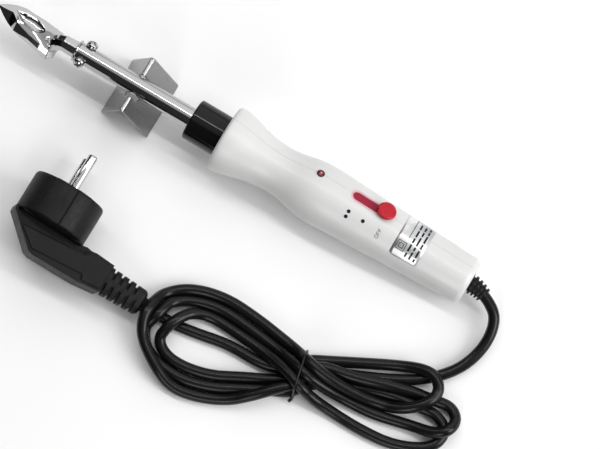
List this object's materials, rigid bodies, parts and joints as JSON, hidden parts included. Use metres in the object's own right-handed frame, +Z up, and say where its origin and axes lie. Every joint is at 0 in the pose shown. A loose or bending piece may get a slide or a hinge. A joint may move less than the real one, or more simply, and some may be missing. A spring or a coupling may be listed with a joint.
{
  "type": "heated edge creaser",
  "caption": "Mains-heated leather edge creaser with a spear-shaped metal tip, slide power switch, folded metal rest and corded plug with its lead hanked and tied.",
  "frame": {"origin": "on the resting surface, under the middle of the tool without its cord and plug", "axes": "+Z up; the tool lies along X with its tip towards -X, its barrel raised 4 degrees by the stand; the cord and plug lie on the -Y side"},
  "size_m": [0.2979, 0.135, 0.039],
  "materials": {
    "white_plastic": "smooth injection-moulded white ABS, low gloss",
    "black_plastic": "polished black phenolic",
    "polished_steel": "mirror polished nickel-chrome plate",
    "plated_steel": "bright zinc plate",
    "mica": "mica paper tube",
    "ceramic": "unglazed ceramic",
    "lead_insulation": "glass-braid insulated wire",
    "board": "phenolic paper circuit board",
    "red_plastic": "glossy red moulded plastic",
    "brass": "tinned brass",
    "lamp_red": "tinted lamp lens",
    "cord_pvc": "satin black PVC sheath",
    "plug_pvc": "satin black moulded PVC",
    "silver_label": "brushed silver foil, blank",
    "sheet_steel": "bent stainless sheet, fine brushed",
    "tie": "black plastic-coated wire tie"
  },
  "bodies": {
    "handle": {"handle_shell_left": "white_plastic", "handle_shell_right": "white_plastic", "housing_screws": "plated_steel", "heat_collar": "black_plastic", "barrel_tube": "polished_steel", "clamp_screws": "plated_steel", "barrel_flange": "plated_steel", "heater_sleeve": "mica", "heater_core": "ceramic", "heater_leads": "lead_insulation", "tip_neck": "polished_steel", "tip_body": "polished_steel", "circuit_board": "board", "switch_body": "black_plastic", "switch_bezel": "red_plastic", "switch_terminals": "brass", "indicator_lamp": "lamp_red", "power_diode": "black_plastic", "lamp_resistor": "ceramic", "cord_inner": "cord_pvc", "strain_relief": "cord_pvc", "supply_wires": "lead_insulation", "cord_clamp": "black_plastic", "cord_clamp_screws": "plated_steel", "rating_label": "silver_label", "plug_body": "plug_pvc", "plug_pins": "polished_steel", "cord_lead": "cord_pvc", "cord_plug_lead": "cord_pvc", "cord_hank": "cord_pvc", "hank_tie": "tie"},
    "slider": {"switch_slider": "red_plastic"},
    "stand": {"stand": "sheet_steel"}
  },
  "joints": [
    {"name": "switch_slide", "type": "slide", "parent": "handle", "child": "slider", "axis": [-0.9976, 0, 0.0698], "range_m": [0, 0.0156]},
    {"name": "stand_shift", "type": "slide", "parent": "handle", "child": "stand", "axis": [-0.9976, 0, 0.0698], "range_m": [-0.018, 0.022]}
  ]
}
